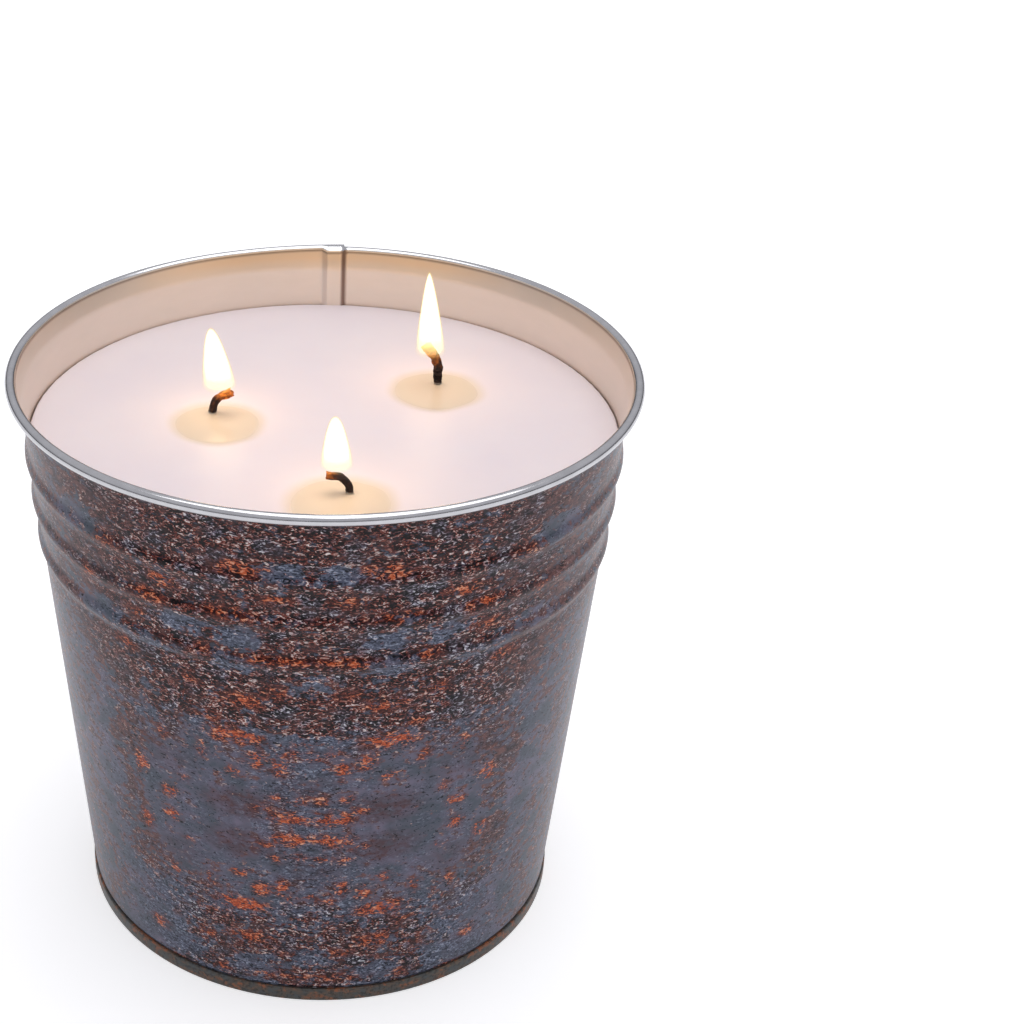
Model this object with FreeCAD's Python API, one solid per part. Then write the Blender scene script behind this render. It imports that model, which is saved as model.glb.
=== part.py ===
"""Printed tinplate bucket filled with citronella wax, with three wicks.

Millimetres, +Z up. The origin is the centre of the bucket's foot, on the surface it stands on.
The bucket is one sheet rolled to a cone and locked along a side seam at the back (+Y). Its top
edge is curled outwards, three beads are swaged below the curl, and its bottom edge is hooked into
the double seam of the base. The wax is cast in the bucket around three wicks, each crimped in a
tin sustainer that is glued to the base.
"""

import FreeCAD
import Part
import math
import os

from FreeCAD import Vector

# Bucket outside
rim_diameter = 130.0
rim_height = 126.0
foot_diameter = 107.2
wall_radius_at_floor = 53.0
wall_taper = 0.0755
sheet = 0.25

# Rim curl, rolled in straight facets of curl_step degrees
curl_diameter = 2.2
curl_step = 45.0
curl_end_angle = -90.0
flare_depth = 4.6

# Swaged beads, the top one top_bead_drop below the rim
bead_count = 3
top_bead_drop = 16.3
bead_pitch = 9.25
bead_width = 4.8
bead_crest = 1.6
bead_rise = 0.8

# Lock seam at the back
seam_azimuth = 88.0
seam_width = 3.8
seam_gap = 0.04
jog_width = 1.3
seam_foot_clearance = 0.8

# Double seam at the foot
foot_seam_height = 3.1
foot_hook_length = 1.9
foot_corner = 0.3
neck_top = 4.0
neck_foot = 3.4

# Base panel
panel_recess = 4.2

# Wax, filled to wax_headspace below the rim
wax_headspace = 13.6
wax_shrink_gap = 0.15
wax_edge_chamfer = 0.5
pool_depth = 0.35
pool_shore = 1.6

# Wicks, sustainers and the glue pads below them
wick_diameter = 1.8
pad_diameter = 13.0
pad_thickness = 0.8
sustainer_diameter = 15.0
sustainer_thickness = 0.3
neck_wall = 0.35
neck_length = 5.0
bend_facet = 22.0

# One row for each wick: its place, the place and radius of its molten pool, and the bend of its
# burnt end, which starts at bend_start above the wax and leans towards lean_azimuth.
WICKS = {
    "left": {
        "place": (-23.4, 2.8), "pool": (-21.7, -2.4), "pool_radius": 8.8,
        "lean_azimuth": 0.0, "bend_start": 0.6, "bend_radius": 3.8, "bend_angle": 66.0, "tail": 2.0,
    },
    "right": {
        "place": (24.4, 18.1), "pool": (24.5, 14.5), "pool_radius": 9.0,
        "lean_azimuth": 180.0, "bend_start": 3.2, "bend_radius": 6.0, "bend_angle": 35.0, "tail": 2.9,
    },
    "front": {
        "place": (5.0, -31.4), "pool": (3.1, -35.6), "pool_radius": 10.2,
        "lean_azimuth": 180.0, "bend_start": 0.7, "bend_radius": 2.9, "bend_angle": 84.0, "tail": 2.0,
    },
}

AXIS = Vector(0, 0, 1)
ORIGIN = Vector(0, 0, 0)

rim_radius = rim_diameter / 2
foot_radius = foot_diameter / 2
curl_radius = curl_diameter / 2
curl_centre = (rim_radius - curl_radius, rim_height - curl_radius)
layer_step = sheet + seam_gap
wall_top = rim_height - flare_depth
top_bead_height = rim_height - top_bead_drop
wax_level = rim_height - wax_headspace

# Sheet centrelines across the double seam, from the outside in: the base's outer wall, the
# body hook, the base's cover hook, the bucket wall and the base's chuck wall.
outer_wall_r = foot_radius - sheet / 2
body_hook_r = outer_wall_r - layer_step
cover_hook_r = body_hook_r - layer_step
body_wall_r = cover_hook_r - layer_step
chuck_wall_r = body_wall_r - sheet
panel_top = panel_recess + sheet
wall_bottom = panel_top + seam_foot_clearance
sustainer_floor = panel_top + pad_thickness


def wall_radius(z):
    """Outside radius of the plain conical wall at height z."""
    return wall_radius_at_floor + wall_taper * z


def point(r, z):
    return Vector(r, 0, z)


def on_circle(centre, radius, degrees):
    angle = math.radians(degrees)
    return (centre[0] + radius * math.cos(angle), centre[1] + radius * math.sin(angle))


def outline(points):
    """A closed wire through (radius, height) points in the XZ plane."""
    return Part.makePolygon([point(r, z) for r, z in points + points[:1]])


def spin(points, start=0.0, sweep=360.0):
    """Turn a closed outline about the axis, from azimuth start through sweep."""
    face = Part.Face(outline(points))
    face.rotate(ORIGIN, AXIS, start)
    return face.revolve(ORIGIN, AXIS, sweep)


def wall_points(inset):
    """The wall from the lock seam's foot up to the flare, with its beads, moved inwards by inset."""
    points = [(wall_radius(wall_bottom) - inset, wall_bottom)]
    for i in reversed(range(bead_count)):
        z = top_bead_height - bead_pitch * i
        for offset, rise in (
            (-bead_width / 2, 0.0), (-bead_crest / 2, bead_rise),
            (bead_crest / 2, bead_rise), (bead_width / 2, 0.0),
        ):
            points.append((wall_radius(z + offset) + rise - inset, z + offset))
    points.append((wall_radius(wall_top) - inset, wall_top))
    return points


def wall_outline(inset, thickness=sheet):
    """Closed outline of one layer of the wall, its outer face moved inwards by inset."""
    return wall_points(inset) + wall_points(inset + thickness)[::-1]


def tangent_angle(start, radius):
    """Angle on the curl of the given radius where a line from start touches its inner side."""
    dx, dz = curl_centre[0] - start[0], curl_centre[1] - start[1]
    lean = math.degrees(math.atan2(dz, dx)) + math.degrees(math.asin(radius / math.hypot(dx, dz)))
    return lean + 90.0


def curl_outline():
    """The flare above the wall, rolled outwards into the curl."""
    sides = []
    for inset, radius in ((sheet, curl_radius), (0.0, curl_radius - sheet)):
        start = (wall_radius(wall_top) - inset, wall_top)
        first = tangent_angle(start, radius)
        highest, lowest = math.ceil(first / curl_step) - 1, math.floor(curl_end_angle / curl_step)
        bends = [curl_step * i for i in range(highest, lowest, -1)]
        stops = [first] + bends + [curl_end_angle]
        sides.append([start] + [on_circle(curl_centre, radius, angle) for angle in stops])
    outer, inner = sides
    return outer + inner[::-1]


def foot_outline():
    """The foot of the wall, its neck and the hook that the double seam holds."""
    wall_in, wall_out = body_wall_r - sheet / 2, body_wall_r + sheet / 2
    hook_in, hook_out = body_hook_r - sheet / 2, body_hook_r + sheet / 2
    hook_floor = sheet + seam_gap
    hook_top = hook_floor + foot_hook_length
    r_top, r_neck = wall_radius(wall_bottom), wall_radius(neck_top)
    return [
        (r_top - sheet, wall_bottom), (r_neck - sheet, neck_top), (wall_in, neck_foot),
        (wall_in, hook_floor),
        (hook_out, hook_floor), (hook_out, hook_top), (hook_in, hook_top),
        (hook_in, hook_floor + sheet), (wall_out, hook_floor + sheet), (wall_out, neck_foot),
        (r_neck, neck_top), (r_top, wall_bottom),
    ]


def azimuth(along):
    """Azimuth in degrees at a distance along the wall, to the right of the seam's left edge."""
    return seam_azimuth + math.degrees((seam_width / 2 - along) / wall_radius(wall_top))


def sector(inset, left, right, thickness=sheet):
    """A stretch of one wall layer between two distances from the seam's left edge."""
    return spin(wall_outline(inset, thickness), azimuth(right), azimuth(left) - azimuth(right))


def seam_layers():
    """The lock seam: two folded edges hooked into each other and pressed flat inside the wall."""
    inner_inset = 3 * layer_step
    fold_depth = 2 * layer_step + sheet
    hook_start = sheet + seam_gap
    left_fold = sector(0.0, 0.0, sheet, fold_depth)
    right_fold = sector(layer_step, seam_width - sheet, seam_width, fold_depth)
    left_hook = sector(layer_step, hook_start, seam_width)
    right_hook = sector(2 * layer_step, 0.0, seam_width - hook_start)
    inner_layer = sector(inner_inset, -seam_gap, seam_width)
    wires = []
    for inset, along in ((0.0, -jog_width), (inner_inset, -seam_gap)):
        wire = outline(wall_outline(inset))
        wire.rotate(ORIGIN, AXIS, azimuth(along))
        wires.append(wire)
    jog = Part.makeLoft(wires, True, True)
    return [left_fold, right_fold, left_hook, right_hook, inner_layer, jog]


def bucket_body():
    opening = math.degrees(jog_width / wall_radius(wall_top))
    wall = spin(wall_outline(0.0), azimuth(-jog_width), 360.0 - opening)
    shape = wall.multiFuse([spin(curl_outline()), spin(foot_outline())] + seam_layers())
    return shape.removeSplitter()


def base_disc():
    """The countersunk panel, and the channel and cover hook of the double seam around it."""
    chuck_in, chuck_out = chuck_wall_r - sheet / 2, chuck_wall_r + sheet / 2
    cover_in, cover_out = cover_hook_r - sheet / 2, cover_hook_r + sheet / 2
    outer_in = foot_radius - sheet
    cover_end = 2 * layer_step
    seam_roof = foot_seam_height - sheet
    return spin([
        (0, panel_recess), (chuck_in, panel_recess), (chuck_in, 0), (foot_radius - foot_corner, 0),
        (foot_radius, foot_corner), (foot_radius, foot_seam_height - foot_corner),
        (foot_radius - foot_corner, foot_seam_height), (cover_in, foot_seam_height),
        (cover_in, cover_end), (cover_out, cover_end), (cover_out, seam_roof),
        (outer_in, seam_roof), (outer_in, sheet), (chuck_out, sheet), (chuck_out, panel_top),
        (0, panel_top),
    ])


def upright(x, y, z, radius, length):
    return Part.makeCylinder(radius, length, Vector(x, y, z), AXIS)


def wick(row):
    """A braided wick, straight in the wax, with its burnt end bent over in a few short facets."""
    x, y = row["place"]
    lean = math.radians(row["lean_azimuth"])
    across = Vector(math.cos(lean), math.sin(lean), 0)
    stem_end = Vector(x, y, wax_level + row["bend_start"])
    path = [Vector(x, y, sustainer_floor), stem_end]
    facets = math.ceil(row["bend_angle"] / bend_facet)
    for i in range(1, facets + 1):
        angle = math.radians(row["bend_angle"] * i / facets)
        reach = across * (1 - math.cos(angle)) + AXIS * math.sin(angle)
        path.append(stem_end + reach * row["bend_radius"])
    heading = AXIS * math.cos(angle) + across * math.sin(angle)
    path.append(path[-1] + heading * row["tail"])
    section = Part.Wire(Part.makeCircle(wick_diameter / 2, path[0], AXIS))
    return Part.makePolygon(path).makePipeShell([section], True, False, 1)


def glue_pad(row):
    x, y = row["place"]
    return upright(x, y, panel_top, pad_diameter / 2, pad_thickness)


def wick_sustainer(row):
    """A tin disc with a neck crimped around the wick."""
    x, y = row["place"]
    neck_radius = wick_diameter / 2 + neck_wall
    disc = upright(x, y, sustainer_floor, sustainer_diameter / 2, sustainer_thickness)
    neck = upright(x, y, sustainer_floor, neck_radius, sustainer_thickness + neck_length)
    bore = upright(x, y, sustainer_floor, wick_diameter / 2, sustainer_thickness + neck_length)
    return disc.fuse(neck).cut(bore).removeSplitter()


def wax_outline():
    """The cast wax, clear of the sheet by the gap it shrinks to."""
    inset = sheet + wax_shrink_gap
    shoulder = wax_level - wax_edge_chamfer
    return [
        (0, panel_top), (wall_radius(panel_top) - inset, panel_top),
        (wall_radius(shoulder) - inset, shoulder),
        (wall_radius(shoulder) - inset - wax_edge_chamfer, wax_level), (0, wax_level),
    ]


def wax_fill(held):
    """The wax, cut clear of the lock seam and of what it holds, with a molten pool by each wick."""
    depth = 3 * layer_step + sheet
    strip = sector(sheet, -jog_width - wax_shrink_gap, seam_width + wax_shrink_gap, depth)
    cuts = [strip, strip.translated(AXIS * -wax_shrink_gap)] + held
    rise = 2 * pool_depth
    for row in WICKS.values():
        x, y = row["pool"]
        r = row["pool_radius"]
        bottom = Vector(x, y, wax_level - pool_depth)
        slope = pool_shore / pool_depth
        cuts.append(Part.makeCone(r - pool_shore, r - pool_shore + slope * rise, rise, bottom))
    return spin(wax_outline()).cut(cuts).removeSplitter()


def main():
    nodes = {"bucket_body": bucket_body(), "base_disc": base_disc()}
    held = []
    for name, row in WICKS.items():
        nodes["glue_pad_" + name] = glue_pad(row)
        nodes["wick_sustainer_" + name] = wick_sustainer(row)
        nodes["wick_" + name] = wick(row)
        held += [nodes[kind + name] for kind in ("glue_pad_", "wick_sustainer_", "wick_")]
    nodes["wax_fill"] = wax_fill(held)
    os.makedirs("parts", exist_ok=True)
    for name, shape in nodes.items():
        shape.exportStep("parts/" + name + ".step")
        print(name, len(shape.Solids), shape.isValid(), round(shape.Volume, 1))


main()
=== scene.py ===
import math

import bmesh
import bpy
from mathutils import Matrix, Vector, noise


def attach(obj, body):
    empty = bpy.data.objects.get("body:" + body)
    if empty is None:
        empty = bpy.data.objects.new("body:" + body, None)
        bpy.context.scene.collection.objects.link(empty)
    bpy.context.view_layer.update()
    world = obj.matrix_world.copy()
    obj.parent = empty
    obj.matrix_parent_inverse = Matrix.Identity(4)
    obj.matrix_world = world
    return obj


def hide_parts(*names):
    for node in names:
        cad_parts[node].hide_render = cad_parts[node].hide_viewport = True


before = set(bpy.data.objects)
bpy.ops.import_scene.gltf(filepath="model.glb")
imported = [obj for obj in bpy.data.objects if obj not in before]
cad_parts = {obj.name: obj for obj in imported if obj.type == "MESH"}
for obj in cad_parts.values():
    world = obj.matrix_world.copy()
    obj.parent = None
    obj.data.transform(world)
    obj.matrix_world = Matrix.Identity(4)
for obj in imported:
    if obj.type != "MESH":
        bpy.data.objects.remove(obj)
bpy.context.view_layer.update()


# Base: a tinplate disc, dark rust print outside, pressed up in the middle and rolled around the
# bucket's foot in a double seam. It is turned from its outline, with the seam's edges rounded.
foot_radius = 0.0536
seam_height = 0.0031
seam_round = 0.0003
chuck_radius = 0.05223
chuck_round = 0.0006
panel_height = 0.0042
hook_inner, hook_outer, hook_end = 0.05277, 0.05302, 0.00058
sheet = 0.00025


def colour(code):
    """Linear colour of an sRGB hex code."""
    channels = [int(code[i:i + 2], 16) / 255 for i in (0, 2, 4)]
    return [c / 12.92 if c <= 0.04045 else ((c + 0.055) / 1.055) ** 2.4 for c in channels] + [1]


def rounded(centre, radius, start, end, steps):
    """Outline points on an arc from angle start to end, in degrees."""
    angles = [math.radians(start + (end - start) * i / steps) for i in range(steps + 1)]
    return [(centre[0] + radius * math.cos(a), centre[1] + radius * math.sin(a)) for a in angles]


def turned(outline, start=-90.0, sweeps=((360.0, 240),)):
    """A closed (radius, height) outline turned from start about the axis, in (degrees, steps) sweeps."""
    shell = bmesh.new()
    first = math.radians(start)
    ring = [shell.verts.new((r * math.cos(first), r * math.sin(first), z)) for r, z in outline]
    ring += [shell.edges.new((a, b)) for a, b in zip(ring, ring[1:] + ring[:1])]
    for angle, steps in sweeps:
        ring = bmesh.ops.spin(
            shell, geom=ring, cent=(0, 0, 0), axis=(0, 0, 1), angle=math.radians(angle),
            steps=steps, use_merge=angle == 360.0)["geom_last"]
    bmesh.ops.remove_doubles(shell, verts=shell.verts, dist=1e-6)
    bmesh.ops.recalc_face_normals(shell, faces=shell.faces)
    return shell


def piece(name, shell, material, slot, *nodes, sharp=35.0):
    """The finished mesh as a piece of the bucket, smooth except over edges sharper than sharp."""
    for face in shell.faces:
        face.smooth = True
    for edge in shell.edges:
        edge.smooth = edge.calc_face_angle(0.0) < math.radians(sharp)
    mesh = bpy.data.meshes.new(name)
    shell.to_mesh(mesh)
    shell.free()
    made = bpy.data.objects.new(name, mesh)
    bpy.context.scene.collection.objects.link(made)
    mesh.materials.append(material)
    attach(made, "root")
    if nodes:
        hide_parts(*nodes)
    return made


def finish(name):
    """A new material with its node tree and its main shader."""
    material = bpy.data.materials.new(name)
    material.use_nodes = True
    return material, material.node_tree, material.node_tree.nodes["Principled BSDF"]


def node(tree, kind, settings={}, **inputs):
    """A node with its settings, and its inputs filled with values or linked to sockets."""
    made = tree.nodes.new("ShaderNode" + kind)
    for key, value in settings.items():
        setattr(made, key, value)
    for key, value in inputs.items():
        socket = made.inputs[int(key[1:]) if key[1:].isdigit() else key.replace("_", " ")]
        if isinstance(value, bpy.types.NodeSocket):
            tree.links.new(value, socket)
        else:
            socket.default_value = value
    return made


def ramp(tree, factor, *stops):
    """A colour ramp through (position, colour) stops."""
    made = node(tree, "ValToRGB", Fac=factor)
    points = made.color_ramp.elements
    while len(points) < len(stops):
        points.new(0.5)
    for point, (position, tint) in zip(points, stops):
        point.position = position
        point.color = tint if isinstance(tint, list) else [tint, tint, tint, 1]
    return made.outputs["Color"]


def mixed(tree, factor, a, b):
    """Colour a turning into colour b by the factor."""
    made = node(tree, "Mix", {"data_type": "RGBA"}, i0=factor, i6=a, i7=b)
    return made.outputs[2]


def calculated(tree, operation, a, b, c=0.0):
    """Result of a sum on sockets or numbers."""
    return node(tree, "Math", {"operation": operation}, i0=a, i1=b, i2=c).outputs[0]


def noisy(tree, place, scale, detail=3.0, roughness=0.5, stretch=(1, 1, 1), offset=(0, 0, 0),
          swirl=0.0):
    """Noise on a place vector, in features per unit of it."""
    moved = node(tree, "Mapping", Vector=place, Scale=stretch, Location=offset).outputs[0]
    return node(tree, "TexNoise", Vector=moved, Scale=scale, Detail=detail, Roughness=roughness,
                Distortion=swirl).outputs["Fac"]


def linked(tree, shader, **sockets):
    """Links each value to the shader's socket of that name."""
    for key, value in sockets.items():
        tree.links.new(value, shader.inputs[key.replace("_", " ")])


base_finish, tree, shader = finish("rust print of the base")
place = node(tree, "TexCoord").outputs["Object"]
blotches = noisy(tree, place, 330.0, 3.0, 0.65, stretch=(1, 1, 1.4))
bits = noisy(tree, place, 1300.0, 2.0, 0.6, offset=(0.3, 0.1, 0.2))
dark = ramp(tree, blotches, (0.36, colour("4A5052")), (0.47, colour("524D46")), (0.56, colour("6C5545")),
            (0.66, colour("965F3C")))
dark = mixed(tree, ramp(tree, bits, (0.5, 0.0), (0.62, 0.75)), dark, colour("242021"))
fresh_rust = calculated(tree, "MULTIPLY", ramp(tree, bits, (0.46, 1.0), (0.52, 0.0)), ramp(
    tree, blotches, (0.54, 0.0), (0.62, 0.8)))
printed = mixed(tree, fresh_rust, dark, colour("9A5636"))
height = node(tree, "SeparateXYZ", Vector=place).outputs["Z"]
radius = node(tree, "VectorMath", {"operation": "LENGTH"}, i0=node(
    tree, "VectorMath", {"operation": "MULTIPLY"}, i0=place, i1=(1, 1, 0)).outputs[0]).outputs["Value"]
outside = calculated(tree, "GREATER_THAN", radius, foot_radius - 0.0007)
linked(tree, shader, Base_Color=mixed(tree, outside, colour("B9B7B2"), printed),
       Metallic=calculated(tree, "SUBTRACT", 1.0, outside),
       Roughness=ramp(tree, blotches, (0.3, 0.28), (0.7, 0.42)))
linked(tree, shader, Normal=node(tree, "Bump", Strength=0.1, Distance=0.0001, Height=bits).outputs[0])

corner = foot_radius - seam_round
base_outline = [(0, panel_height), (chuck_radius - chuck_round, panel_height)]
base_outline += rounded(
    (chuck_radius - chuck_round, panel_height - chuck_round), chuck_round, 90, 0, 4)[1:]
base_outline += [(chuck_radius, 0.0004)]
base_outline += rounded((chuck_radius + seam_round, seam_round), seam_round, 180, 270, 4)[1:]
base_outline += rounded((corner, seam_round), seam_round, 270, 360, 5)
base_outline += rounded((corner, seam_height - seam_round), seam_round, 0, 90, 5)
base_outline += [(hook_inner, seam_height), (hook_inner, hook_end), (hook_outer, hook_end)]
base_outline += [(hook_outer, seam_height - sheet), (foot_radius - sheet, seam_height - sheet)]
base_outline += [(foot_radius - sheet, sheet), (chuck_radius + sheet, sheet)]
base_outline += [(chuck_radius + sheet, panel_height + sheet), (0, panel_height + sheet)]
piece("tin_base", turned(base_outline), base_finish, "base_tin", "base_disc")


# Bucket: one printed and varnished tin sheet, rolled to a cone and locked along a side seam at the
# back, with three beads swaged below the curled rim and the foot hooked into the base's seam.
# Turned from one closed outline. The seam's layers are pressed into it, inside and out.
wall_at_floor = 0.0530
wall_taper = 0.0755
neck_foot, neck_top = 0.0034, 0.0040
flare_start = 0.1214
curl_centre = (0.0639, 0.1249)
curl_radius = 0.0011
beads = (0.1097, 0.10045, 0.0912)
bead_width, bead_rise = 0.0048, 0.0008
print_middle = -91.75
print_level = 0.0493
seam_right, seam_left, jog_end = 86.25, 89.75, 90.95
seam_depth = 0.00087
curl_dip = 0.0004
lap_lift, lap_run = 0.0005, 24
curl_paint_foot = 0.1236


def wall_radius(z):
    """Outside radius of the wall with its beads."""
    radius = wall_at_floor + wall_taper * z
    for middle in beads:
        along = abs(z - middle) / (bead_width / 2)
        if along < 1:
            radius += bead_rise * (0.5 + 0.5 * math.cos(math.pi * along)) ** 0.8
    return radius


def tangent(start, radius):
    """Angle on the curl where a line from start touches its inner side."""
    run, rise = curl_centre[0] - start[0], curl_centre[1] - start[1]
    return math.degrees(math.atan2(rise, run) + math.asin(radius / math.hypot(run, rise))) + 90


def between(a, b, steps):
    """Outline points on the line from a to b, without its ends."""
    return [(a[0] + (b[0] - a[0]) * i / steps, a[1] + (b[1] - a[1]) * i / steps)
            for i in range(1, steps)]


beads_foot = 0.0879
levels = [neck_top + (print_level - neck_top) * i / 34 for i in range(34)]
levels += [print_level + (beads_foot - print_level) * i / 31 for i in range(31)]
levels += [beads_foot + (flare_start - beads_foot) * i / 66 for i in range(67)]
inner_levels = [neck_top, 0.0049, 0.0053]
inner_levels += [beads_foot + (flare_start - beads_foot) * i / 50 for i in range(51)]
wall_foot, hook_radius = 0.05248, 0.05331
hook_foot, hook_top = 0.00029, 0.00219
bucket_outline = [(wall_foot, hook_foot), (hook_radius, hook_foot), (hook_radius, hook_top)]
bucket_outline += [(hook_radius - sheet, hook_top), (hook_radius - sheet, hook_foot + sheet)]
bucket_outline += [(wall_foot + sheet, hook_foot + sheet), (wall_foot + sheet, neck_foot)]
bucket_outline += [(wall_radius(z), z) for z in levels]
outer_start = (wall_radius(flare_start), flare_start)
inner_start = (outer_start[0] - sheet, flare_start)
curl_inside = rounded(
    curl_centre, curl_radius - sheet, tangent(outer_start, curl_radius - sheet), -105, 12)
curl_outside = rounded(curl_centre, curl_radius, -105, tangent(inner_start, curl_radius), 24)
bucket_outline += between(outer_start, curl_inside[0], 6) + curl_inside
bucket_outline += curl_outside + between(curl_outside[-1], inner_start, 6)
bucket_outline += [(wall_radius(z) - sheet, z) for z in reversed(inner_levels)]
bucket_outline += [(wall_foot, neck_foot)]

tiny = 0.05
flare_slope = (curl_inside[0][0] - outer_start[0]) / (curl_inside[0][1] - flare_start) - wall_taper
shell = turned(bucket_outline, print_middle, (
    (seam_right - print_middle - tiny, 178), (tiny, 1), (seam_left - seam_right, 4), (tiny, 1),
    (jog_end - seam_left - tiny, 4), (360 - (jog_end - print_middle), 177)))
for face in shell.faces:
    middle = face.calc_center_median()
    outwards = face.normal.dot(Vector((middle.x, middle.y, 0)).normalized())
    if middle.z > (curl_outside[-1][1] + 0.0003 if outwards < 0 else curl_paint_foot):
        face.material_index = 2
    elif outwards < 0:
        face.material_index = 1
# Painted shade: a dark line in the crevice under the curl's inner edge, and a darker one inside along
# the seam's fold edge, where the step lies in shade.
painted_shade_layer = shell.verts.layers.float.new("painted_shade")
for v in shell.verts:
    radius = math.hypot(v.co.x, v.co.y)
    under_curl = math.hypot(radius - curl_outside[-1][0], v.co.z - curl_outside[-1][1]) < 0.0002
    v[painted_shade_layer] = 0.75 * under_curl
    azimuth = math.degrees(math.atan2(v.co.y, v.co.x))
    if not 80 < azimuth < 115:
        continue
    # Painted shade along the seam's fold edge.
    if abs(azimuth - seam_right) < tiny * 1.5:
        v[painted_shade_layer] = 1.0
    skin = wall_radius(v.co.z) + max(0, v.co.z - flare_start) * flare_slope
    inside = v.co.z > curl_inside[0][1] or skin - radius > sheet / 2
    fade = min(1, max(0, (v.co.z - 0.0049) / 0.0004))
    if v.co.z > curl_inside[0][1]:
        fade *= min(1, max(0, (curl_centre[0] + 0.0004 - radius) / 0.0014))
    jog = min(1, max(0, (jog_end - azimuth) / (jog_end - seam_left)))
    if azimuth < (seam_right - tiny / 2 if inside else seam_left + tiny / 2):
        jog = 0.0
    push = 1 - seam_depth * jog * fade / radius
    v.co.x *= push
    v.co.y *= push
    v.co.z -= curl_dip * jog * fade * min(1, max(0, (v.co.z - 0.1225) / 0.0015))
    if azimuth > seam_right - tiny / 2 and v.co.z > flare_start:
        lap = max(0.0, 1 - (azimuth - seam_right) / lap_run) ** 1.5
        v.co.z += lap_lift * lap * min(1, (v.co.z - flare_start) / 0.0025)

# The print's fields: ellipses of (degrees from its middle, height in mm, half width in degrees,
# half height in mm, strength). The print is mirrored about its middle and about its level.
rust_patches = (
    (40, 66, 5, 6, 0.7), (43, 60, 4, 5, 0.75), (41, 52, 3, 5, 0.6), (30, 70, 9, 5, 0.5),
    (17, 71, 9, 4, 0.35), (5, 70, 9, 6, 0.4), (8, 57, 6, 5, 0.2), (2, 53, 6, 7, 0.35),
    (62, 78, 12, 22, 0.5), (76, 70, 12, 30, 0.45),
    (30, 51, 6, 6, 0.3), (16, 63, 5, 3, 0.3), (22, 66, 4, 4, 0.3),
)
orange_patches = (
    (15.3, 72.1, 4.7, 1.6, 1), (6.2, 65.7, 1.4, 2, 0.9), (0.2, 68.8, 1.2, 1, 0.8),
    (15.5, 62.9, 1.6, 1, 0.8), (22.3, 66.9, 1.2, 1.8, 0.7), (2, 57.1, 1.5, 0.9, 0.8),
    (27.5, 57.3, 1.2, 0.8, 0.7), (30.8, 52.5, 1.9, 1.3, 0.9), (4.2, 51.8, 3.8, 1.1, 1),
    (10.9, 66.9, 1.7, 1.7, 0.9), (7, 57.6, 1.6, 0.8, 0.8), (9.9, 54.2, 1.9, 0.9, 0.8),
    (3.8, 69.2, 1.5, 0.9, 0.8), (31, 68, 1.3, 1.2, 0.8), (38, 57, 1.6, 2, 0.9), (20, 76, 2.4, 1.2, 0.7),
    (5.5, 53, 3, 1.3, 0.7), (13.5, 81.4, 4, 1.5, 0.9), (6.5, 84.2, 2.5, 1.2, 0.7),
    (24, 83.6, 2, 1.3, 0.7), (38, 87, 2.5, 1.2, 0.8), (5.5, 92, 6, 0.9, 0.8),
    (21, 92.5, 2, 1, 0.8), (34, 95.9, 3, 1, 0.7), (31, 101.5, 3, 1.2, 0.8),
    (15, 102, 4, 1.2, 0.8), (28, 105.6, 3, 1.2, 0.9), (6.2, 105.9, 2.5, 1, 0.8),
    (13, 112.4, 4, 1.4, 0.9), (40, 110, 3, 1.2, 0.6), (47, 100, 3, 1.2, 0.6),
)
slate_patches = (
    (13.7, 96.4, 4, 2, 1), (14.5, 90.5, 4, 1.8, 0.9), (24.7, 97, 4, 2, 0.9), (5, 112, 4, 1.6, 0.8),
    (49, 112, 5, 2, 0.8), (0, 87, 4, 1.6, 0.6), (33, 90, 5, 1.6, 0.7), (45, 93, 5, 2, 0.8),
)
maroon_patches = ((14.9, 54.6, 5.5, 2.8, 0.9), (2, 60, 4, 3, 0.3), (31, 62, 5, 3, 0.4))


def field(patches, across, height):
    """The strongest of the patches at a place of the print."""
    found = 0.0
    for x, z, width, tall, strength in patches:
        gap = math.hypot((across - x) / width, (height - z) / tall)
        if gap < 1.8:
            found = max(found, strength * min(1.0, 1.8 - gap))
    return found


def eased(value, low, high):
    """Smooth step from 0 at low to 1 at high."""
    t = min(1.0, max(0.0, (value - low) / (high - low)))
    return t * t * (3 - 2 * t)


layers = {name: shell.verts.layers.float.new(name)
          for name in ("rust", "orange", "slate", "maroon", "calm")}
unrolled = shell.verts.layers.float_vector.new("unrolled")
for v in shell.verts:
    signed = (math.degrees(math.atan2(v.co.y, v.co.x)) - print_middle + 180) % 360 - 180
    turn = min(abs(signed), 180 - abs(signed))
    height = v.co.z * 1000
    shown = print_level * 1000 + abs(height - print_level * 1000)
    drift = 0.35 * math.copysign(turn, signed) + 0.3 * (height - print_level * 1000)
    v[unrolled] = Vector((turn, shown, drift))
    side = eased(turn, 40, 58)
    above = eased(shown, 69 + 8 * side, 78 + 8 * side) * (1 - 0.25 * side)
    if height < print_level * 1000:
        above *= 0.8 - 0.6 * eased(turn, 20, 38)
    v[layers["rust"]] = max(above, field(rust_patches, turn, shown))
    v[layers["orange"]] = field(orange_patches, turn, shown)
    v[layers["slate"]] = field(slate_patches, turn, shown)
    v[layers["maroon"]] = field(maroon_patches, turn, shown)
    below = (0.3 + 0.55 * eased(turn, 4, 15)) * (1 - eased(shown, 66, 76))
    v[layers["calm"]] = max(eased(turn, 26, 55), below)

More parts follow.
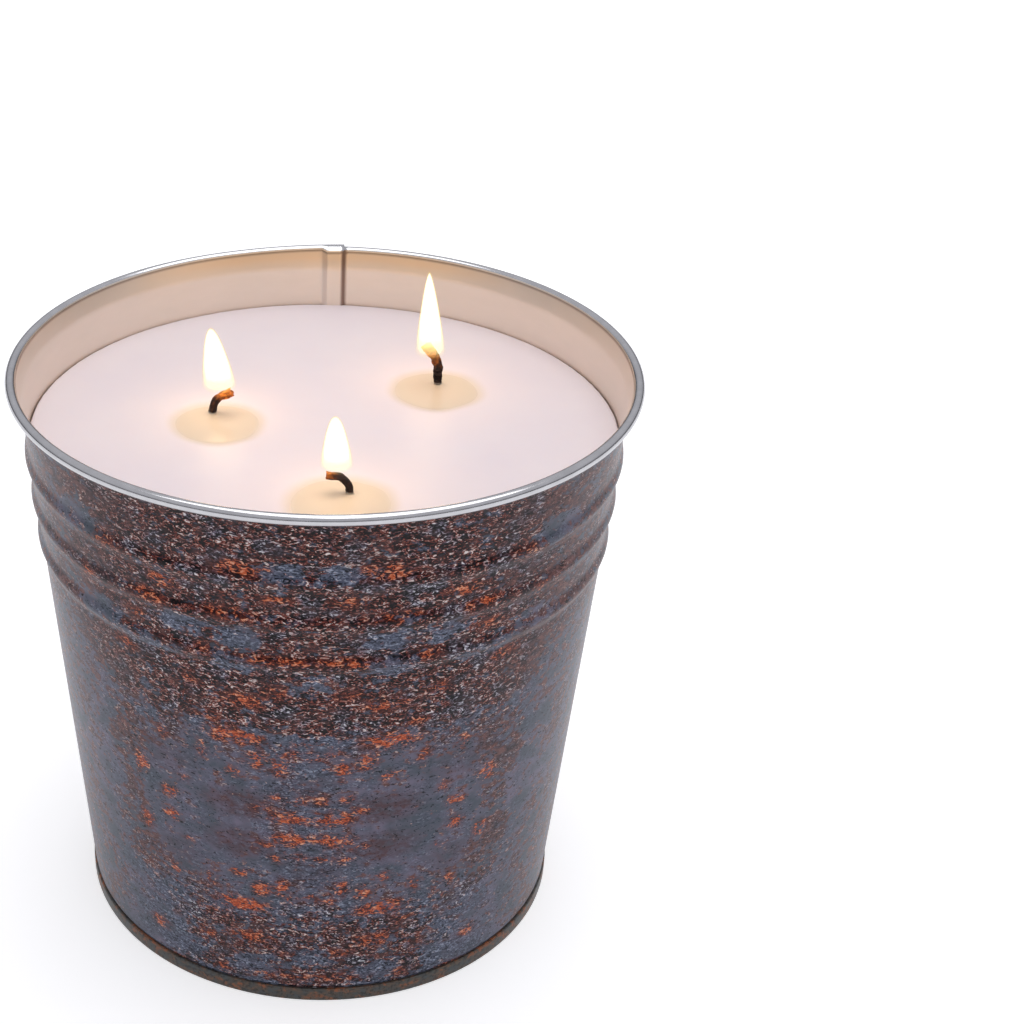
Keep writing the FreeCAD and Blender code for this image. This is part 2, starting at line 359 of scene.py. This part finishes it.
print_finish, tree, shader = finish("varnished rust print")
place = node(tree, "Attribute", {"attribute_name": "unrolled"}).outputs["Vector"]
fields = {name: node(tree, "Attribute", {"attribute_name": name}).outputs["Fac"] for name in layers}
drift = noisy(tree, place, 0.15, 3.0, 0.6, stretch=(1, 1.4, 1))
murk = noisy(tree, place, 0.2, 2.0, 0.6, stretch=(1, 1.5, 1), offset=(31, 8, 0))
clump = noisy(tree, place, 0.45, 2.0, 0.6, stretch=(1, 1.6, 1), offset=(9, 4, 0), swirl=0.4)
stroke = noisy(tree, place, 0.82, 1.5, 0.65, stretch=(1, 2.0, 1), offset=(3, 7, 0), swirl=1.4)
fleck = noisy(tree, place, 1.05, 1.0, 0.5, stretch=(1, 1.8, 1), offset=(21, 5, 0), swirl=1.0)


def blended(tree, *parts):
    """Sum of (value, weight) parts."""
    total = 0.0
    for value, weight in parts:
        total = calculated(tree, "MULTIPLY_ADD", value, weight, total)
    return total


level = blended(tree, (drift, 0.6), (clump, 0.65), (stroke, 0.3), (fields["rust"], 0.27),
                (fields["slate"], -0.22))
rust_mask = ramp(tree, level, (0.885, 0.0), (0.97, 1.0))
slate = ramp(tree, stroke, (0.36, colour("1A1C24")), (0.43, colour("474D5E")), (0.5, colour("5D6377")),
             (0.58, colour("6E768C")), (0.68, colour("B4BCD0")))
rust = ramp(tree, stroke, (0.385, colour("040204")), (0.45, colour("211115")), (0.5, colour("4E2828")),
            (0.545, colour("833F36")), (0.59, colour("A25A48")), (0.63, colour("CFAAA2")),
            (0.67, colour("F8EEEA")))
ashen = ramp(tree, stroke, (0.38, colour("040408")), (0.455, colour("24252D")),
             (0.525, colour("50535F")), (0.585, colour("8087A0")), (0.63, colour("C4CADA")),
             (0.67, colour("EEF2FA")))
rust = mixed(tree, ramp(tree, drift, (0.52, 0.0), (0.61, 0.8)), rust, ashen)
rust = mixed(tree, ramp(tree, fleck, (0.56, 0.0), (0.62, 0.85)), rust, colour("0E0B0E"))
calm_slate = ramp(tree, drift, (0.35, colour("545C68")), (0.5, colour("6A6A7B")),
                  (0.65, colour("7E768A")))
calm_rust = ramp(tree, clump, (0.38, colour("3C2F34")), (0.5, colour("61484B")),
                 (0.62, colour("825C58")))
murky = ramp(tree, murk, (0.5, 0.0), (0.62, 1.0))
rust = mixed(tree, blended(tree, (fields["calm"], 0.62), (murky, 0.35)), rust, calm_rust)
slate = mixed(tree, blended(tree, (fields["calm"], 0.85), (murky, 0.5)), slate, calm_slate)
inked = mixed(tree, rust_mask, slate, rust)
stain = calculated(tree, "MULTIPLY", fields["maroon"], ramp(tree, clump, (0.3, 0.2), (0.6, 0.9)))
inked = mixed(tree, stain, inked, colour("5A3C40"))
haze = calculated(tree, "MULTIPLY", ramp(tree, fields["orange"], (0.0, 0.0), (0.8, 0.75)), ramp(
    tree, clump, (0.4, 0.2), (0.55, 1.0)))
inked = mixed(tree, haze, inked, ramp(tree, stroke, (0.4, colour("401A18")), (0.6, colour("9C4E3C"))))
spots = ramp(tree, fleck, (0.64, 0.0), (0.68, 0.9))
inked = mixed(tree, spots, inked, colour("121216"))
sparks = blended(tree, (fields["orange"], 0.24), (clump, 0.4), (stroke, 0.75), (rust_mask, -0.035))
orange_mask = ramp(tree, sparks, (0.765, 0.0), (0.812, 1.0))
hot = ramp(tree, stroke, (0.36, colour("6A2419")), (0.44, colour("B34A2E")), (0.54, colour("CE5E38")),
           (0.62, colour("DE784E")), (0.7, colour("F4BC9C")))
inked = mixed(tree, orange_mask, inked, hot)
linked(tree, shader, Base_Color=inked, Roughness=ramp(tree, stroke, (0.3, 0.35), (0.7, 0.45)))
shader.inputs["Specular IOR Level"].default_value = 0.08
shader.inputs["Coat Weight"].default_value = 0.35
shader.inputs["Coat IOR"].default_value = 1.45
shader.inputs["Coat Roughness"].default_value = 0.16
linked(tree, shader, Normal=node(tree, "Bump", Strength=0.1, Distance=0.00004, Height=stroke).outputs[0])

# The lacquered silver tin of the curl and the warm bare tin inside are finishes of the same sheet.
inside_finish, tree, shader = finish("warm bare tin")
place = node(tree, "TexCoord").outputs["Object"]
haze = noisy(tree, place, 60.0, 4.0, 0.6, stretch=(1, 1, 3))
grain = noisy(tree, place, 900.0, 2.0, 0.5, stretch=(1, 1, 0.2))
tin = ramp(tree, haze, (0.3, colour("E8DDD0")), (0.7, colour("EEE2D6")))
where = node(tree, "SeparateXYZ", Vector=place)
# Painted flame light: a warm peach band on the flare at the back of the inner wall, where the flames
# light it.
flame_light_height = node(tree, "MapRange", Value=where.outputs["Z"], From_Min=0.1208, From_Max=0.1238).outputs[0]
flame_light_back = node(tree, "MapRange", Value=where.outputs["Y"], From_Min=0.045, From_Max=0.059).outputs[0]
tin = mixed(tree, calculated(tree, "MULTIPLY", flame_light_height, flame_light_back), tin, colour("F6D9B8"))
# Painted shade: the tin turns dark brown in the crevice under the curl and along the seam's fold edge.
painted_shade = node(tree, "Attribute", {"attribute_name": "painted_shade"}).outputs["Fac"]
tin = mixed(tree, ramp(tree, painted_shade, (0.15, 0.0), (0.8, 0.7)), tin, colour("7C5444"))
linked(tree, shader, Base_Color=tin, Roughness=ramp(tree, haze, (0.3, 0.36), (0.7, 0.42)))
linked(tree, shader, Normal=node(tree, "Bump", Strength=0.04, Distance=0.00002, Height=grain).outputs[0])
shader.inputs["Metallic"].default_value = 1.0

curl_finish, tree, shader = finish("silver lacquered curl")
place = node(tree, "TexCoord").outputs["Object"]
streaks = noisy(tree, place, 300.0, 3.0, 0.6)
linked(tree, shader, Base_Color=ramp(tree, streaks, (0.3, colour("C8C8CB")), (0.7, colour("D4D4D7"))),
       Roughness=ramp(tree, streaks, (0.3, 0.12), (0.7, 0.16)))
shader.inputs["Metallic"].default_value = 1.0

bucket = piece("tin_bucket", shell, print_finish, "printed_tin", "bucket_body", sharp=28.0)
bucket.data.materials.append(inside_finish)
bucket.data.materials.append(curl_finish)


# Wick feet: a bright tin disc with a crimped neck on each wick, held on the base by a pad of
# hot-melt glue. They are cast in the wax and stay as the frame has them.
tin_finish, tree, shader = finish("bright crimped tin")
place = node(tree, "TexCoord").outputs["Object"]
rubbed = noisy(tree, place, 500.0, 3.0, 0.6)
linked(tree, shader, Base_Color=ramp(tree, rubbed, (0.3, colour("BDBDBD")), (0.7, colour("D6D6D6"))),
       Roughness=ramp(tree, rubbed, (0.3, 0.25), (0.7, 0.4)))
shader.inputs["Metallic"].default_value = 1.0
glue_finish, tree, shader = finish("hot-melt glue")
place = node(tree, "TexCoord").outputs["Object"]
cloudy = noisy(tree, place, 350.0, 3.0, 0.6)
linked(tree, shader, Base_Color=ramp(tree, cloudy, (0.3, colour("DDD9C8")), (0.7, colour("EEEBDD"))))
shader.inputs["Roughness"].default_value = 0.35
shader.inputs["Subsurface Weight"].default_value = 0.2
shader.inputs["Subsurface Radius"].default_value = (0.001, 0.001, 0.0008)
for side in ("left", "right", "front"):
    for name, coat in (("wick_sustainer_", tin_finish), ("glue_pad_", glue_finish)):
        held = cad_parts[name + side]
        held.data.materials.clear()
        held.data.materials.append(coat)


# Wax: pale pinkish candle wax, cast in the bucket and shrunk a hair from the tin all round. Each
# wick stands in a shallow pool of molten wax, glossier than the rest and yellower, the yellow partly
# its own and partly painted flame light; near each flame the wax carries painted flame light too.
wax_level = 0.1128
wax_floor = 0.00445
wax_gap = 0.00034
wax_round = 0.0006
pool_depth = 0.00035
wick_swell = 0.0004
pools = {"left": (-0.0222, -0.0018, 0.0096), "right": (0.0239, 0.0151, 0.0097),
         "front": (0.0033, -0.0355, 0.0107)}
wick_feet = {"left": (-0.0234, 0.0028), "right": (0.0244, 0.0181), "front": (0.0050, -0.0314)}

edge = wall_at_floor + wall_taper * wax_level - wax_gap
wax_outline = [(0, wax_floor)]
for z in (wax_floor, 0.03, 0.06, 0.09, 0.1, 0.106):
    wax_outline.append((wall_at_floor + wall_taper * z - wax_gap, z))
wax_outline += rounded((edge - wax_round, wax_level - wax_round), wax_round, 0, 90, 5)
rings = 150
wax_outline += [((edge - wax_round) * (1 - i / rings), wax_level) for i in range(1, rings + 1)]
shell = turned(wax_outline, sweeps=((360.0, 300),))
melt = shell.verts.layers.float.new("melt")
glow = shell.verts.layers.float.new("glow")
for v in shell.verts:
    if v.co.z < wax_level - 0.0008:
        continue
    radius = math.hypot(v.co.x, v.co.y)
    for name, (x, y, reach) in pools.items():
        wobble = 1 + 0.05 * noise.noise(Vector((v.co.x * 150, v.co.y * 150, reach * 900)))
        gap = math.hypot(v.co.x - x, v.co.y - y) / (reach * wobble)
        molten = 1 - eased(gap, 0.8, 1.2)
        v[melt] = max(v[melt], molten)
        v.co.z -= pool_depth * molten
        foot = wick_feet[name]
        away = math.hypot(v.co.x - foot[0], v.co.y - foot[1])
        v.co.z += wick_swell * math.exp(-max(0.0, away - 0.0009) / 0.0006)
        # Painted flame light: glow falls off from each wick and warms the wax colour.
        v[glow] = max(v[glow], math.exp(-(away / 0.024) ** 2))
    v.co.z += 0.00006 * noise.noise(Vector((v.co.x * 60, v.co.y * 60, 2.0))) * (1 - v[melt])
    if radius > edge - 0.0012:
        ragged = noise.noise(Vector((v.co.x * 420, v.co.y * 420, 5.0)))
        push = 1 - 0.00025 * (0.5 + 0.5 * ragged) / radius
        v.co.x *= push
        v.co.y *= push

wax_finish, tree, shader = finish("pale wax")
place = node(tree, "TexCoord").outputs["Object"]
cloud = noisy(tree, place, 40.0, 4.0, 0.55)
mottle = noisy(tree, place, 900.0, 3.0, 0.6)
melted = node(tree, "Attribute", {"attribute_name": "melt"}).outputs["Fac"]
# Painted flame light: near each flame the wax turns pinker and the pool yellower, by the glow attribute.
painted_flame_light = node(tree, "Attribute", {"attribute_name": "glow"}).outputs["Fac"]
solid = ramp(tree, cloud, (0.3, colour("E7DBE0")), (0.7, colour("EDE1E3")))
solid = mixed(tree, calculated(tree, "MULTIPLY", painted_flame_light, 0.55), solid, colour("F1DED9"))
pool_tint = mixed(tree, painted_flame_light, colour("DECDB9"), colour("DFCAB0"))
linked(tree, shader, Base_Color=mixed(tree, melted, solid, pool_tint),
       Roughness=ramp(tree, melted, (0.0, 0.42), (1.0, 0.24)))
linked(tree, shader, Normal=node(
    tree, "Bump", Strength=0.08, Distance=0.00004,
    Height=calculated(tree, "MULTIPLY", mottle, calculated(tree, "SUBTRACT", 1.0, melted))).outputs[0])
shader.inputs["Subsurface Weight"].default_value = 0.25
shader.inputs["Subsurface Radius"].default_value = (0.004, 0.003, 0.0025)
piece("candle_wax", shell, wax_finish, "wax", "wax_fill")


# Wicks: round braided cotton, upright in the wax. The free ends have burnt black and curled over,
# and their tips still glow. Each is one tube drawn along its bend, twisted as a braid is.
wick_radius = 0.0009
wick_bottom = 0.00525
bends = {
    "left": dict(lean=1, start=0.0006, radius=0.0038, angle=66, tail=0.0020,
                 thick=0.86, flare=1.1, ember=0.5, glow=1),
    "right": dict(lean=-1, start=0.0032, radius=0.0060, angle=35, tail=0.0029,
                  thick=0.92, flare=1.4, ember=0.58, glow=1),
    "front": dict(lean=-1, start=0.0007, radius=0.0029, angle=84, tail=0.0020,
                  thick=0.84, flare=1.05, ember=0.25, glow=0.5),
}

wick_finish, tree, shader = finish("charred braid")
place = node(tree, "TexCoord").outputs["Object"]
burnt = node(tree, "Attribute", {"attribute_name": "burnt"}).outputs["Fac"]
ember = node(tree, "Attribute", {"attribute_name": "ember"}).outputs["Fac"]
crust = noisy(tree, place, 1400.0, 4.0, 0.7)
cotton = ramp(tree, crust, (0.3, colour("D8CDBE")), (0.7, colour("EFE8DC")))
char = ramp(tree, crust, (0.35, colour("0E0605")), (0.6, colour("2A120E")), (0.75, colour("481E14")))
coals = ramp(tree, crust, (0.35, colour("7E2F14")), (0.6, colour("DE802C")))
linked(tree, shader, Base_Color=mixed(tree, ember, mixed(tree, burnt, cotton, char), coals),
       Emission_Color=coals, Emission_Strength=calculated(tree, "MULTIPLY", ember, ramp(
           tree, crust, (0.4, 0.05), (0.62, 0.35))))
shader.inputs["Roughness"].default_value = 0.85
linked(tree, shader, Normal=node(tree, "Bump", Strength=0.6, Distance=0.0002, Height=crust).outputs[0])

for side, bend in bends.items():
    x, y = wick_feet[side]
    top = wax_level + bend["start"]
    stem = [(x, z, 0.0) for z in (wick_bottom + 0.02, wax_level - 0.004, wax_level - 0.001)]
    buried = len(stem)
    stem += [(x, wax_level + bend["start"] * i / 10, 0.0) for i in range(11)]
    for i in range(1, 15):
        angle = math.radians(bend["angle"] * i / 14)
        stem.append((x + bend["lean"] * bend["radius"] * (1 - math.cos(angle)),
                     top + bend["radius"] * math.sin(angle), angle))
    bent = stem[-1]
    for i in range(1, 9):
        run = bend["tail"] * i / 8
        stem.append((bent[0] + bend["lean"] * run * math.sin(angle),
                     bent[1] + run * math.cos(angle), angle))

    shell = bmesh.new()
    bmesh.ops.create_circle(shell, cap_ends=True, radius=wick_radius, segments=24,
                            matrix=Matrix.Translation((x, y, wick_bottom)))
    burnt_layer = shell.verts.layers.float.new("burnt")
    ember_layer = shell.verts.layers.float.new("ember")
    around_layer = shell.verts.layers.float.new("around")
    for v in shell.verts:
        v[around_layer] = math.atan2(v.co.y - y, v.co.x - x)
    shell.faces.ensure_lookup_table()
    end = shell.faces[0]
    for count, (across, height, angle) in enumerate(stem):
        grown = bmesh.ops.extrude_face_region(shell, geom=[end])["geom"]
        end = [part for part in grown if isinstance(part, bmesh.types.BMFace)][0]
        free = max(0, count - buried) / (len(stem) - 1 - buried)
        tilt = Matrix.Rotation(angle * bend["lean"], 3, "Y")
        for v in end.verts:
            around = v[around_layer]
            twist = math.cos(3 * around + 16 * free)
            lump = noise.noise(Vector((
                1.4 * math.cos(around), 1.4 * math.sin(around), height * 900 + x * 500)))
            fray = noise.noise(Vector((4 * math.cos(around), 4 * math.sin(around), height * 2600)))
            size = wick_radius * bend["thick"] * (1 + (bend["flare"] - 1) * free)
            if free:
                size *= 1 + 0.09 * twist + 0.26 * lump + 0.16 * fray
            proud = 0.00035 * (lump + fray) * eased(free, 0.9, 1.0)
            v.co = Vector((across, y, height)) + tilt @ Vector(
                (size * math.cos(around), size * math.sin(around), proud))
            v[burnt_layer] = eased(height, wax_level, wax_level + 0.0006)
            v[ember_layer] = bend["glow"] * eased(free + 0.25 * lump, 1 - bend["ember"], 1.0)
    bmesh.ops.recalc_face_normals(shell, faces=shell.faces)
    piece("burnt_wick_" + side, shell, wick_finish, "wick", "wick_" + side, sharp=60.0)


# Flames: burning wax vapour over each wick. Three shells one in the other, white in the middle,
# thin yellow at the edges and clear at the foot. They are light, and nothing solid.
flames = {
    "left": dict(foot=(-0.0217, 0.1178), tip=(-0.0234, 0.1320), width=0.0076, power=0.5),
    "right": dict(foot=(0.0226, 0.1186), tip=(0.02165, 0.1386), width=0.0071, power=0.68),
    "front": dict(foot=(0.0025, 0.1177), tip=(0.0021, 0.1292), width=0.0069, power=0.47),
}
flame_finish, tree, shader = finish("candle flame")
core = node(tree, "Attribute", {"attribute_name": "core"}).outputs["Fac"]
rise = node(tree, "Attribute", {"attribute_name": "rise"}).outputs["Fac"]
tint = mixed(tree, core, colour("FFDF9C"), colour("FFF9EA"))
tint = mixed(tree, ramp(tree, rise, (0.16, 0.7), (0.42, 0.0)), tint, colour("FFF08C"))
alpha = calculated(tree, "MULTIPLY", ramp(tree, rise, (0.02, 0.0), (0.18, 0.22), (0.38, 1.0)), ramp(
    tree, core, (0.0, 0.25), (0.5, 0.6), (1.0, 0.96)))
tree.nodes.remove(shader)
shine = node(tree, "Emission", Color=tint, Strength=calculated(tree, "MULTIPLY_ADD", core, 2.0, 1.2))
clear = node(tree, "BsdfTransparent")
both = node(tree, "MixShader", i0=alpha, i1=clear.outputs[0], i2=shine.outputs[0])
tree.links.new(both.outputs[0], tree.nodes["Material Output"].inputs["Surface"])

for side, flame in flames.items():
    y = wick_feet[side][1]
    whole = bmesh.new()
    core_layer = whole.verts.layers.float.new("core")
    rise_layer = whole.verts.layers.float.new("rise")
    low, high = flame["foot"][1], flame["tip"][1]
    steps = 26
    for number, share in enumerate((1.0, 0.9, 0.78)):
        outline = []
        for i in range(steps + 1):
            t = 0.5 - 0.5 * math.cos(math.pi * i / steps)
            half = (1 - t) ** flame["power"] * math.sin(math.pi / 2 * min(1, t / 0.08))
            outline.append((half * flame["width"] / 2 * share, t))
        start = len(whole.verts)
        first = [whole.verts.new((r, 0, t)) for r, t in outline]
        lines = [whole.edges.new((a, b)) for a, b in zip(first, first[1:])]
        bmesh.ops.spin(whole, geom=first + lines, cent=(0, 0, 0), axis=(0, 0, 1),
                       angle=2 * math.pi, steps=32, use_merge=True)
        whole.verts.ensure_lookup_table()
        for v in whole.verts[start:]:
            t = v.co.z
            v[core_layer] = number / 2
            v[rise_layer] = t
            lengthened = low + (high - low) * (0.5 + (t - 0.5) * (0.55 + 0.45 * share))
            middle = flame["foot"][0] + (flame["tip"][0] - flame["foot"][0]) * t
            v.co = Vector((v.co.x + middle, v.co.y + y, lengthened))
    bmesh.ops.remove_doubles(whole, verts=whole.verts, dist=1e-6)
    bmesh.ops.recalc_face_normals(whole, faces=whole.faces)
    lit = piece("flame_" + side, whole, flame_finish, "wick", sharp=180.0)
    lit.visible_shadow = False
    lamp = bpy.data.lights.new("flame_light_" + side, "POINT")
    lamp.energy = 0.0032
    lamp.color = (1.0, 0.62, 0.36)
    lamp.shadow_soft_size = 0.005
    bulb = bpy.data.objects.new("flame_light_" + side, lamp)
    bulb.location = (flame["foot"][0], y, flame["foot"][1] + 0.005)
    bpy.context.scene.collection.objects.link(bulb)


# Studio: a white floor under soft overhead light, with the camera where the photograph's was.
floor_mesh = bmesh.new()
bmesh.ops.create_grid(floor_mesh, x_segments=1, y_segments=1, size=6)
mesh = bpy.data.meshes.new("studio_floor")
floor_mesh.to_mesh(mesh)
floor_mesh.free()
floor = bpy.data.objects.new("studio_floor", mesh)
bpy.context.scene.collection.objects.link(floor)
floor_finish, tree, shader = finish("white floor")
shader.inputs["Base Color"].default_value = (0.86, 0.86, 0.87, 1)
shader.inputs["Roughness"].default_value = 0.9
shader.inputs["Specular IOR Level"].default_value = 0.0
path = node(tree, "LightPath")
seen = calculated(tree, "MAXIMUM", path.outputs["Is Camera Ray"], path.outputs["Is Transmission Ray"])
seen = calculated(tree, "MULTIPLY_ADD", path.outputs["Is Glossy Ray"], 0.55, seen)
shader.inputs["Emission Color"].default_value = (1, 1, 1, 1)
linked(tree, shader, Emission_Strength=calculated(tree, "MULTIPLY", seen, 0.46))
mesh.materials.append(floor_finish)

world = bpy.data.worlds.new("studio")
world.use_nodes = True
bpy.context.scene.world = world
tree = world.node_tree
up = node(tree, "SeparateXYZ", Vector=node(tree, "TexCoord").outputs["Generated"]).outputs["Z"]
sky = ramp(tree, up, (0.0, [0.03, 0.03, 0.03, 1]), (0.1, [0.13, 0.13, 0.14, 1]),
           (0.22, [0.42, 0.42, 0.45, 1]), (0.45, [0.56, 0.56, 0.59, 1]),
           (0.9, [0.57, 0.57, 0.6, 1]))
seen = node(tree, "LightPath").outputs["Is Camera Ray"]
sky = mixed(tree, seen, sky, (0.97, 0.97, 0.98, 1))
tree.links.new(sky, tree.nodes["Background"].inputs["Color"])
tree.nodes["Background"].inputs["Strength"].default_value = 1.0


def softbox(name, place, aim, width, height, power):
    """A rectangular soft lamp at a place, turned towards its aim."""
    lamp = bpy.data.lights.new(name, "AREA")
    lamp.shape = "RECTANGLE"
    lamp.size, lamp.size_y = width, height
    lamp.energy = power
    made = bpy.data.objects.new(name, lamp)
    made.location = place
    made.rotation_euler = (Vector(aim) - Vector(place)).to_track_quat("-Z", "Y").to_euler()
    bpy.context.scene.collection.objects.link(made)


softbox("overhead_softbox", (0.1, 0.1, 1.3), (0, 0, 0.06), 1.2, 1.2, 7.7)

lens = bpy.data.cameras.new("camera")
lens.sensor_width = 36
lens.lens = 66.777
lens.shift_x = 0.1819
lens.shift_y = 0.1029
lens.clip_start = 0.01
camera = bpy.data.objects.new("camera", lens)
camera.matrix_world = (
    Matrix.Translation((0, -0.35613, 0.2899)) @ Matrix.Rotation(math.radians(57.63), 4, "X")
    @ Matrix.Rotation(math.radians(0.62), 4, "Z"))
bpy.context.scene.collection.objects.link(camera)
bpy.context.scene.camera = camera
bpy.context.scene.view_settings.view_transform = "Standard"
